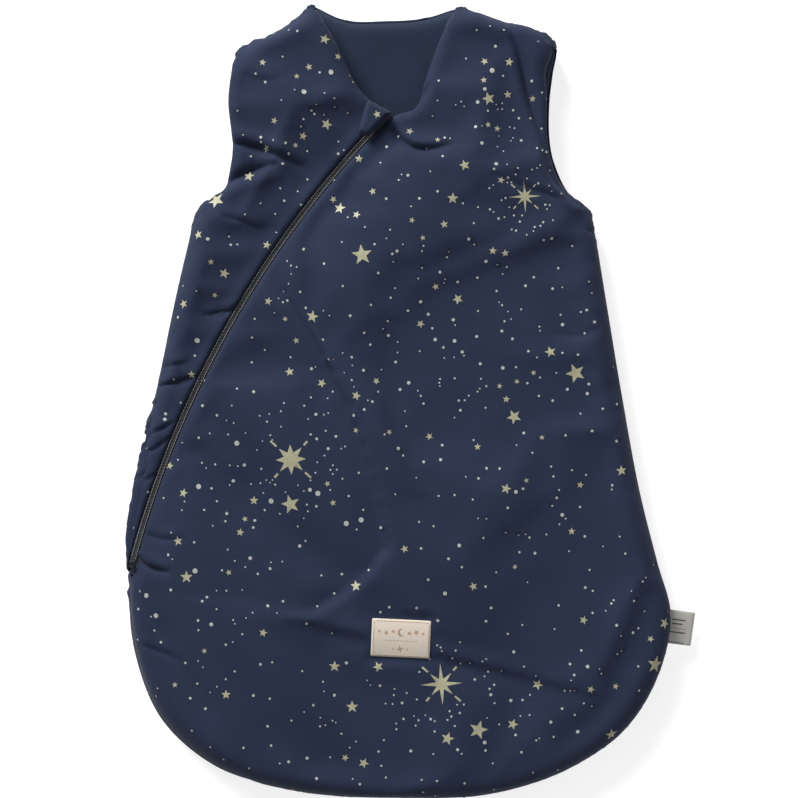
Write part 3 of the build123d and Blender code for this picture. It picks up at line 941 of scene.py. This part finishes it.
LEFT_SEAM = front_seam(LEFT_SIDE)
main_pad = Pad([
    front_seam(FOOT_AND_RIGHT_SIDE),
    front_roll(FRONT_RIGHT_ARMHOLE),
    shoulder_seam(RIGHT_SHOULDER_TOP),
    front_roll(FRONT_RIGHT_NECK),
    zip_edge(-CLOTH_TO_ZIP),
], 1)
side_pad = Pad([
    zip_edge(CLOTH_TO_ZIP),
    front_roll(FRONT_LEFT_NECK),
    shoulder_seam(LEFT_SHOULDER_TOP),
    front_roll(LEFT_ARMHOLE),
    LEFT_SEAM,
], 1)
back_pad = Pad([
    back_seam(FOOT_AND_RIGHT_SIDE),
    back_roll(RIGHT_ARMHOLE),
    back_seam(RIGHT_SHOULDER_TOP, 10.0),
    back_roll(BACK_NECK),
    back_seam(LEFT_SHOULDER_TOP, 10.0),
    back_roll(LEFT_ARMHOLE),
    back_seam(LEFT_SIDE),
], -1)


def press_flat(points, middle, half):
    """Flattens the cloth under the label towards a smooth, slightly bent plane."""
    off = points[:, :2] - middle
    beyond = np.linalg.norm(np.maximum(np.abs(off) - half, 0), axis=1)
    under = beyond < 1.0
    x, y = off.T / 25.0
    terms = np.column_stack([np.ones(len(x)), x, y, x * x, y * y])
    factors = np.linalg.lstsq(terms[under], points[under, 2], rcond=None)[0]
    share = ramp(beyond, 9.0, 0.0)
    points[:, 2] = points[:, 2] * (1 - share) + (terms @ factors - 0.4) * share
    return points


def build_pad(name, pad, shapes, inner, folds=(), swell=None):
    """The padded piece: its printed outer cloth, and the side towards the lining."""
    flat, faces, inked = cut_cloth(pad.outline, shapes, FINE, RINGS, folds)
    n = len(pad.outline)
    points = pad.place(flat, n)
    free = np.ones(len(points))
    free[:n] = 0
    corners = np.zeros(len(points))
    for edge in pad.edges:
        off = np.linalg.norm(points[:, :2] - edge.line[0], axis=1)
        corners = np.maximum(corners, np.exp(-((off / CORNER_SOFT) ** 2)))
    moved = points - np.column_stack([flat, np.zeros(len(flat))])
    far = np.min([edge.nearest(flat, edge.flat)[0] for edge in pad.edges], axis=0)
    moved = relax(relax(moved, faces, 30, free * corners), faces, 2, ramp(far, 0.5 * TURNED_IN, TURNED_IN))
    points = moved + np.column_stack([flat, np.zeros(len(flat))])
    if swell:
        coarse_flat, coarse_faces, _ = cut_cloth(pad.outline[::2], [], COARSE)
        m = len(pad.outline[::2])
        coarse = pad.place(coarse_flat, 0)
        coarse[:m, :2] = pad.places[::2]
        moved = settle(coarse, coarse_faces, range(m), **swell)
        moved = relax(moved, coarse_faces, 1, np.ones(len(moved)))
        delta = carried(moved, coarse_flat, coarse_faces, flat)
        calm = np.column_stack([ramp(far, 4, 38), ramp(far, 4, 38), ramp(far, 0, 14)])
        points = points + relax(delta, faces, 2, free) * calm
    for each in folds:
        points = fold(points, *each)
    if pad is main_pad:
        points = press_flat(points, LABEL_CENTRE, (LABEL_SIZE[0] / 2 - 1, LABEL_SIZE[1] / 2 - 1))
    under = points.copy()
    _, distances, _, ways = pad.heights(flat)
    way = ways[np.arange(len(flat)), distances.argmin(axis=1)]
    second = np.sort(distances, axis=1)[:, 1]
    drawn = np.minimum(8.0 * (1 - np.exp(-far / 5.0)), 0.4 * second) * ramp(far, 60.0, 20.0)
    under[:, :2] += way * drawn[:, None]
    share = ramp(far, 0.0, LINING_LEVEL)
    level = points[:, 2] * (1 - share) + inner * share
    nearest_level = points[:, 2] - pad.side * 1.2 * ramp(far, 0, 6)
    under[:, 2] = np.minimum(level, nearest_level) if pad.side > 0 else np.maximum(level, nearest_level)
    rest = np.arange(len(points))
    rest[n:] += len(points) - n
    under_faces = rest[faces][:, ::-1]
    all_points = np.concatenate([points, under[n:]])
    all_faces = np.concatenate([faces, under_faces])
    if pad.side < 0:
        all_faces = all_faces[:, ::-1]
    turned_under = far[faces].mean(axis=1) < TURNED_IN
    which = np.concatenate([inked, np.where(turned_under, 0, 3)])
    cloth = np.concatenate([flat, flat[n:]])
    return mesh_object(name, all_points, all_faces, [PRINT_CLOTH, GOLD, SILVER, LINING], which, cloth)


# path, depth, width, height of the ridge beside it, and 1 for a ridge on the left, -1 on the right
MAIN_FOLDS = [
    ([(-6, 238), (-3, 219), (9, 208), (46, 210)], 5.0, 2.6, 3.4, 1),
    ([(26, 262), (20, 250), (8, 238)], 3.0, 2.6, 1.4, -1),
    ([(82, 326), (97, 292), (107, 250), (118, 215), (124, 192)], 5.0, 2.6, 2.6, -1),
    ([(118, 205), (124, 186), (150, 158)], 3.0, 2.2, 1.6, -1),
    ([(76, 185), (110, 172), (156, 158)], 1.6, 2.6, 1.0, 1),
    ([(-223, -122), (-209, -137), (-188, -143)], 4.6, 2.2, 2.4, 1),
    ([(-216, -108), (-198, -115), (-176, -116)], 1.4, 2.6, 1.0, 1),
    ([(-220, -200), (-202, -207), (-180, -216)], 1.8, 2.4, 1.0, 1),
    ([(150, 143), (166, 136), (180, 142)], 2.2, 2.2, 1.2, 1),
    ([(168, 60), (150, 52), (128, 55)], 1.2, 3.0, 0.8, 1),
    ([(-30, 178), (-10, 160), (8, 120)], 1.0, 4.0, 0.8, 1),
]
SIDE_FOLDS = [
    ([(-152, 213), (-122, 208), (-78, 190)], 5.5, 3.0, 3.0, 1),
    ([(-150, 172), (-127, 186), (-98, 194)], 7.0, 3.6, 3.0, -1),
    ([(-148, 150), (-130, 146), (-112, 138)], 1.6, 2.4, 1.0, 1),
    ([(-162, 69), (-146, 71), (-122, 79)], 2.4, 2.0, 1.6, 1),
    ([(-206, 9), (-186, 13), (-163, 19)], 3.0, 2.0, 1.8, 1),
    ([(-204, 24), (-190, 27), (-172, 30)], 1.5, 2.0, 0.9, 1),
    ([(-213, -47), (-203, -42), (-188, -31)], 2.2, 1.8, 1.2, 1),
    ([(-210, -30), (-198, -26), (-184, -18)], 2.0, 1.8, 1.1, 1),
    ([(-216, -70), (-207, -66), (-199, -60)], 1.6, 1.6, 0.8, 1),
    ([(-132, 268), (-112, 262), (-88, 266)], 0.9, 3.2, 0.8, 1),
]
SWELLING = {"slack": 0.034, "pressure": 0.2, "stiffness": 0.6, "most": 6.0}
main_shapes = print_shapes(main_pad, LARGE_STARS + SMALL_STARS, DOT_CLOUDS, BURSTS)
front_main = build_pad("front_main_cloth", main_pad, main_shapes, FRONT_INNER, MAIN_FOLDS, SWELLING)
side_shapes = print_shapes(side_pad, LARGE_STARS + SMALL_STARS, DOT_CLOUDS)
front_side = build_pad("front_side_cloth", side_pad, side_shapes, FRONT_INNER, SIDE_FOLDS, SWELLING)
back_stars = [(-x, y, r) for x, y, r in LARGE_STARS + SMALL_STARS]
back_clouds = [(-x, y, w, n) for x, y, w, n in DOT_CLOUDS]
back_shapes = print_shapes(back_pad, back_stars, back_clouds, [(-x, *rest) for x, *rest in BURSTS])
back = build_pad("back_cloth", back_pad, back_shapes, BACK_INNER)
for piece, nodes in ((front_main, ("front_main_panel", "front_main_wadding")),
                     (front_side, ("front_side_panel", "front_side_wadding")),
                     (back, ("back_panel", "back_wadding"))):
    belongs(piece, "shell_print", *nodes)

# ---------------------------------------------------------------- linings


def inset_loop(pad, inset):
    """The pad's outline moved inwards, without the points that would cross another edge."""
    loop = pad.places + inwards_of(pad.places) * inset
    far = np.min([edge.nearest(loop, edge.line)[0] for edge in pad.edges], axis=0)
    return thinned(loop[(far > 0.93 * inset) & inside(loop, pad.places)], 2.0)


def waves(points, size, height):
    """A slow, uneven rise and fall."""
    x, y = points[:, 0] / size, points[:, 1] / size
    return height * (np.sin(x + 1.3 * np.sin(0.7 * y)) * np.cos(0.8 * y + 0.6 * np.sin(1.1 * x))
                     + 0.4 * np.sin(2.3 * x - 1.7 * y))


def lining_sheet(node, pad, inset, level, edge_level):
    """The lining inside one pad: a thin sheet that meets the pad's turned edges."""
    loop = inset_loop(pad, inset)
    flat, faces, _ = cut_cloth(loop, [], 5.0)
    far = np.min([edge.nearest(flat, edge.line)[0] for edge in pad.edges], axis=0) - inset
    share = round_rise(far / 7.0)
    z = edge_level + (level - edge_level) * share + waves(flat, 34.0, 0.7) * share
    top = np.column_stack([flat, z])
    piece = slab_mesh(f"{node}_cloth", flat, faces, len(loop), top, top - (0, 0, 0.5), [LINING])
    belongs(piece, "lining", node)


lining_sheet("back_lining", back_pad, 1.5, BACK_INNER + 1.6, BACK_ROLL_HEIGHT + 0.4)
lining_sheet("front_main_lining", main_pad, 5.0, FRONT_INNER - 0.8, FRONT_INNER - 1.0)
lining_sheet("front_side_lining", side_pad, 4.0, FRONT_INNER - 0.8, FRONT_INNER - 1.0)

# ---------------------------------------------------------------- zip
COIL_PITCH = 1.3
COIL_WIRE = 0.3
COIL_MIDDLE = 1.15          # from the zip's middle to the middle of one coil
COIL_REACH = 1.25           # half the width of one coil
COIL_STOP = 433.4           # along the zip, where the bottom stop begins


def strip(name, distances, asides, lift, thick, material):
    """A band along the zip, a little thick, with closed edges."""
    rows, columns = len(distances), len(asides)
    d, across = np.meshgrid(distances, asides, indexing="ij")
    room = LEFT_SEAM.nearest(zip_points(distances), LEFT_SEAM.line)[0] - 1.5
    squeeze = np.minimum(1.0, np.maximum(room, 0.4) / max(asides.max(), 0.4))
    across = np.where(across > 0, across * squeeze[:, None], across)
    xy = zip_points(d.ravel(), across.ravel())
    z = zip_z(xy) + np.tile(lift, rows)
    top = np.column_stack([xy, z])
    low = top - (0, 0, thick)
    n = rows * columns
    faces = []
    for i in range(rows - 1):
        for j in range(columns - 1):
            a, b = i * columns + j, i * columns + j + 1
            faces.append((a, b, b + columns, a + columns))
            faces.append((a + n + columns, b + n + columns, b + n, a + n))
    rim = [i * columns for i in range(rows)] + [n - columns + j for j in range(1, columns)]
    rim += [i * columns + columns - 1 for i in range(rows - 2, -1, -1)] + list(range(columns - 2, 0, -1))
    faces += [(b, a, a + n, b + n) for a, b in zip(rim, rim[1:] + rim[:1])]
    if asides[0] < asides[-1]:
        faces = [face[::-1] for face in faces]
    cloth = np.column_stack([across.ravel(), d.ravel()])
    return mesh_object(name, np.concatenate([top, low]), faces, [material], cloth=np.tile(cloth, (2, 1)))


def tube(line, radius, sides):
    """Points and faces of a round thread along a line of 3-D points."""
    line = np.asarray(line, float)
    along = unit(np.gradient(line, axis=0))
    across = unit(np.cross(along, (0.0, 0.0, 1.0)) + 1e-9)
    up = np.cross(across, along)
    angles = np.arange(sides) * 2 * math.pi / sides
    rings = line[:, None] + radius * (across[:, None] * np.cos(angles)[None, :, None]
                                      + up[:, None] * np.sin(angles)[None, :, None])
    faces = []
    for i in range(len(line) - 1):
        for j in range(sides):
            k = (j + 1) % sides
            faces.append((i * sides + j, i * sides + k, (i + 1) * sides + k, (i + 1) * sides + j))
    last = (len(line) - 1) * sides
    faces.append(tuple(range(sides - 1, -1, -1)))
    faces.append(tuple(range(last, last + sides)))
    return rings.reshape(-1, 3), faces


def gathered_mesh(name, parts, material):
    """One object from several (points, faces) parts."""
    points, faces, start = [], [], 0
    for some, joined in parts:
        points.append(some)
        faces += [tuple(i + start for i in face) for face in joined]
        start += len(some)
    return mesh_object(name, np.concatenate(points), faces, [material])


def coil(side):
    """One half of the zip: a flattened spiral of nylon."""
    steps = 12
    turns = int((COIL_STOP - 1.5) / COIL_PITCH)
    phase = np.arange(turns * steps) / steps
    angle = 2 * math.pi * phase
    distance = 1.4 + (phase + (0.25 if side > 0 else -0.25)) * COIL_PITCH
    aside = side * (COIL_MIDDLE - COIL_REACH * np.cos(angle))
    xy = zip_points(distance, aside)
    z = zip_z(xy) + 0.85 + 0.55 * np.sin(angle)
    return tube(np.column_stack([xy, z]), COIL_WIRE, 5)


def stitches(points, length, gap, radius):
    """A row of short thread stitches that follow a line of 3-D points."""
    points = np.asarray(points, float)
    at = np.concatenate([[0], np.cumsum(np.linalg.norm(np.diff(points, axis=0), axis=1))])
    parts = []
    start = gap
    while start + length < at[-1]:
        u = np.linspace(start, start + length, 5)
        line = np.column_stack([np.interp(u, at, points[:, k]) for k in range(3)])
        line[:, 2] += radius * (np.array((-1.2, 0.2, 0.5, 0.2, -1.2)))
        parts.append(tube(line, radius, 5))
        start += length + gap
    return parts


tape_rows = np.arange(0.0, ZIP_LENGTH, 2.5)
for side, word in ((1, "left"), (-1, "right")):
    asides = side * np.array((0.35, 1.4, 2.6, 3.4, 5.0, 8.0, 10.5))
    lift = np.array((0.0, 0.05, 0.1, 0.0, -0.3, -0.5, -0.6))
    tape = strip(f"zip_tape_{word}_woven", tape_rows, asides, lift, 0.5, TAPE)
    belongs(tape, "zip_tape", f"zip_tape_{word}")
    teeth = gathered_mesh(f"zip_coil_{word}_teeth", [coil(side)], COIL)
    belongs(teeth, "zip_coil", f"zip_coil_{word}")
    rows = np.arange(2.0, COIL_STOP - 2.0, 2.0)
    xy = zip_points(rows, side * 1.75)
    sewn = gathered_mesh(f"zip_stitching_{word}",
                         stitches(np.column_stack([xy, zip_z(xy) + 1.8]), 2.2, 0.5, 0.3), COIL_THREAD)
    belongs(sewn, "thread")
underlap = strip("zip_underlap_strip", np.arange(4.0, ZIP_LENGTH - 6.0, 5.0), np.linspace(-14, 14, 7),
                 np.full(7, -2.9), 0.6, LINING)
belongs(underlap, "lining", "zip_underlap")

# ---------------------------------------------------------------- foot piping
foot_rim = main_pad.edges[0]
foot_line = np.column_stack([foot_rim.line, foot_rim.numbers[:, 0]])
foot_line = foot_line[:len(foot_line) - int(335 / 4)]
points, faces = tube(foot_line, 0.8, 8)
piping = mesh_object("foot_piping_cord", points, faces, [PIPING_CLOTH])
belongs(piping, "piping", "foot_piping")

# ---------------------------------------------------------------- tongue over the slider
TONGUE = [(-26.0, 246.5), (-5.5, 235.4), (-26.6, 214.8), (-33.5, 221.0)]
TONGUE_LOW = 37.6
TONGUE_RISE = 4.6


def soft_corners(points, radius, steps=5):
    """A closed outline with its corners rounded off."""
    p = np.array(points, float)
    outline = []
    for before, corner, after in zip(np.roll(p, 1, axis=0), p, np.roll(p, -1, axis=0)):
        a = corner + unit(before - corner) * radius
        b = corner + unit(after - corner) * radius
        for t in np.linspace(0, 1, steps):
            outline.append((1 - t) ** 2 * a + 2 * t * (1 - t) * corner + t * t * b)
    return np.array(outline)


def even_loop(loop, step):
    """The same closed outline with points at even steps."""
    closed = np.concatenate([loop, loop[:1]])
    at = np.concatenate([[0], np.cumsum(np.linalg.norm(np.diff(closed, axis=0), axis=1))])
    u = np.linspace(0, at[-1], round(at[-1] / step) + 1)[:-1]
    return np.column_stack([np.interp(u, at, closed[:, k]) for k in range(2)])


def puffed(name, loop, shapes, spacing, base, rise, flat_low, materials, edge=4.0):
    """A small closed cushion over an outline: domed above, nearly flat below."""
    flat, faces, inked = cut_cloth(loop, shapes, spacing)
    closed = np.concatenate([loop, loop[:1]])
    far = np.full(len(flat), 1e9)
    for a, b in zip(closed[:-1], closed[1:]):
        t = np.clip((flat - a) @ (b - a) / ((b - a) @ (b - a)), 0, 1)
        far = np.minimum(far, np.linalg.norm(flat - a - t[:, None] * (b - a), axis=1))
    share = round_rise(far / edge) ** 0.8
    top = np.column_stack([flat, base + rise * share])
    low = np.column_stack([flat, base - flat_low * share])
    n, m = len(flat), len(loop)
    rest = np.arange(n)
    rest[m:] += n - m
    everything = np.concatenate([top, low[m:]])
    all_faces = np.concatenate([faces, rest[faces][:, ::-1]])
    which = np.concatenate([inked, np.zeros(len(faces), int)])
    return mesh_object(name, everything, all_faces, materials, which, np.concatenate([flat, flat[m:]]))


tongue = puffed("zip_garage_tongue", even_loop(soft_corners(TONGUE, 3.0)[::-1], 1.2),
                [star(-18, 233.5, 3.4, 0.3)], 1.2, TONGUE_LOW, TONGUE_RISE, 0.8, [PRINT_CLOTH, GOLD])
belongs(tongue, "shell_print", "zip_garage", body="garage")

# ---------------------------------------------------------------- label and side tag
front_points = np.array([v.co[:] for v in front_main.data.vertices]) / MM
front_faces = [tuple(face.vertices) for face in front_main.data.polygons]
front_tree = BVHTree.FromPolygons(front_points.tolist(), front_faces)


def front_heights(places):
    """Height of the front cloth at each place."""
    hits = [front_tree.ray_cast((x, y, 80.0), (0, 0, -1))[0] for x, y in places]
    return np.array([hit.z if hit else FRONT_RIM_TOP for hit in hits])


def on_label(points):
    """Points on the label, x across and y up it, as places on the bag."""
    return LABEL_CENTRE + turned(np.asarray(points, float), LABEL_TURN)


# x, y and size of the stars beside the label's moon; then of those below its dashes, with their waists
LABEL_STARS = [(-18.0, 5.4, 1.9), (-12.2, 4.4, 2.7), (-6.3, 5.6, 2.1), (6.9, 4.6, 2.3), (12.6, 5.6, 2.8),
               (18.2, 4.6, 1.8)]
LABEL_SPARKS = [(-0.3, -8.8, 3.4, 0.35), (-6.0, -8.8, 1.3, 0.4), (5.4, -8.8, 1.3, 0.4)]


def label_print():
    """A moon between stars, a row of dashes and three sparks."""
    moon_out = [(3.3 * math.cos(a), 3.3 * math.sin(a)) for a in np.linspace(0.9, 5.4, 22)]
    moon_in = [(1.3 + 2.6 * math.cos(a), 0.3 + 2.6 * math.sin(a)) for a in np.linspace(5.15, 1.15, 18)]
    moon = np.array(moon_out + moon_in) + (0.4, 5.0)
    stars = [star(x, y, r, 0.15 * x) for x, y, r in LABEL_STARS]
    dashes = [box_corners(x - 0.8, -2.2, x + 0.8, -1.6) for x in np.arange(-12.5, 12.6, 2.5)]
    return [moon] + stars + dashes + [star(x, y, r, 0.2, 4, waist) for x, y, r, waist in LABEL_SPARKS]


def label():
    """The woven label, laid on the front, with a stitched border."""
    half = np.array(LABEL_SIZE) / 2
    loop = even_loop(soft_corners(box_corners(*-half, *half), 0.4), 1.5)
    flat, faces, inked = cut_cloth(loop, label_print(), 1.5)
    xy = on_label(flat)
    z = front_heights(xy)
    edge = np.min(np.abs(np.abs(flat) - half), axis=1)
    top = np.column_stack([xy, z + 0.75 + 0.25 * round_rise(edge / 3.0)])
    low = np.column_stack([xy, z + 0.15])
    woven_label = slab_mesh("front_label_woven", flat, faces, len(loop), top, low, [LABEL_CLOTH, ROSE_INK],
                            inked)
    belongs(woven_label, "label", "front_label")
    border = box_corners(*-(half - 1.6), *(half - 1.6))
    parts = []
    for a, b in zip(border, np.roll(border, -1, axis=0)):
        line = on_label(a + (b - a) * np.linspace(0, 1, 24)[:, None])
        parts += stitches(np.column_stack([line, front_heights(line) + 1.12]), 2.1, 0.6, 0.24)
    sewn = gathered_mesh("label_stitches", parts, ROSE_THREAD)
    belongs(sewn, "thread", "label_stitching")


label()

TAG_ROOT = np.array((220.0, -188.5))
TAG_TURN = math.radians(-8.0)
TAG_LENGTH = 25.5
TAG_WIDTH = 28.0
TAG_FOLD = 1.2              # how far from the ribbon's fold it begins to thin
# y, x, width and half height of the bars that stand for its text
TAG_BARS = [(6.3, 6.5, 11.5, 0.6), (2.9, 6.5, 9.5, 0.6), (-0.9, 5.5, 14.0, 0.2), (-4.2, 5.5, 13.5, 0.6),
            (-12.6, 4.0, 15.0, 0.35)]


def side_tag():
    """A folded satin ribbon, sewn into the side seam, with plain bars for its text."""
    shapes = [box_corners(x, y - h, x + w, y + h) for y, x, w, h in TAG_BARS]
    loop = even_loop(box_corners(0, -TAG_WIDTH / 2, TAG_LENGTH, TAG_WIDTH / 2), 1.5)
    flat, faces, inked = cut_cloth(loop, shapes, 1.6)
    x, y = flat.T
    bend = 0.9 * np.sin(x / 9.0 + 0.4) + 0.35 * np.sin(y / 6.0) * x / TAG_LENGTH
    middle = np.column_stack([TAG_ROOT + turned(flat, TAG_TURN), SEAM_HEIGHT - 1.0 - 0.16 * x + bend])
    past = ((x - TAG_LENGTH + TAG_FOLD) / TAG_FOLD).clip(0, 1)
    half_thick = 0.75 * np.sqrt(1 - past**2) + 0.1
    up = half_thick[:, None] * (0, 0, 1)
    ribbon = slab_mesh("side_tag_ribbon", flat, faces, len(loop), middle + up, middle - up,
                       [TAG_SATIN, TAG_INK], inked)
    belongs(ribbon, "tag", "side_tag")


side_tag()
for node in ("zip_slider", "zip_pull_tab", "zip_top_stops", "zip_bottom_stop"):
    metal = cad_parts[node]
    metal.data.materials.clear()
    metal.data.materials.append(METAL)

# ---------------------------------------------------------------- floor, light and camera
PHOTO_WIDTH = 0.6625        # what the picture shows across, at the height of the bag
CAMERA_HEIGHT = 1.86
AIM = (0, 0, 0.02)          # the middle of the bag, which the lights point at
FLOOR_REACH = 20.0


def area_light(name, place, size, power):
    light = bpy.data.lights.new(name, "AREA")
    light.shape = "RECTANGLE"
    light.size = light.size_y = size
    light.energy = power
    obj = bpy.data.objects.new(name, light)
    obj.location = place
    obj.rotation_euler = (Vector(AIM) - Vector(place)).to_track_quat("-Z", "Y").to_euler()
    bpy.context.scene.collection.objects.link(obj)


def studio():
    """White paper that glows a little, two soft lights, a pale sky and a camera straight above."""
    r = Recipe("floor_paper")
    grain = r.noise(r.object_place(), 40.0)
    r.set(Base_Color=r.between(grain, (0.48, 0.48, 0.48), (0.5, 0.5, 0.5)))
    r.set(Roughness=0.95, Specular_IOR_Level=0.1)
    r.set(Emission_Color=(1, 1, 1, 1), Emission_Strength=0.72)
    mesh = bpy.data.meshes.new("floor")
    corners = box_corners(-FLOOR_REACH, -FLOOR_REACH, FLOOR_REACH, FLOOR_REACH)
    mesh.from_pydata([(x, y, 0) for x, y in corners], [], [(0, 1, 2, 3)])
    mesh.materials.append(r.material)
    floor = bpy.data.objects.new("floor", mesh)
    bpy.context.scene.collection.objects.link(floor)
    area_light("key", (-2.24, 3.78, 2.52), 2.24, 441)
    area_light("fill", (1.6, -0.9, 2.2), 2.0, 10)
    world = bpy.data.worlds.new("studio")
    world.use_nodes = True
    sky = world.node_tree.nodes["Background"]
    sky.inputs["Color"].default_value = (1, 1, 1, 1)
    sky.inputs["Strength"].default_value = 0.30
    scene = bpy.context.scene
    scene.world = world
    scene.view_settings.view_transform = "Standard"
    camera = bpy.data.cameras.new("camera")
    camera.sensor_width = 36.0
    camera.lens = 36.0 * (CAMERA_HEIGHT - AIM[2]) / PHOTO_WIDTH
    obj = bpy.data.objects.new("camera", camera)
    obj.location = (0, 0, CAMERA_HEIGHT)
    scene.collection.objects.link(obj)
    scene.camera = obj


studio()
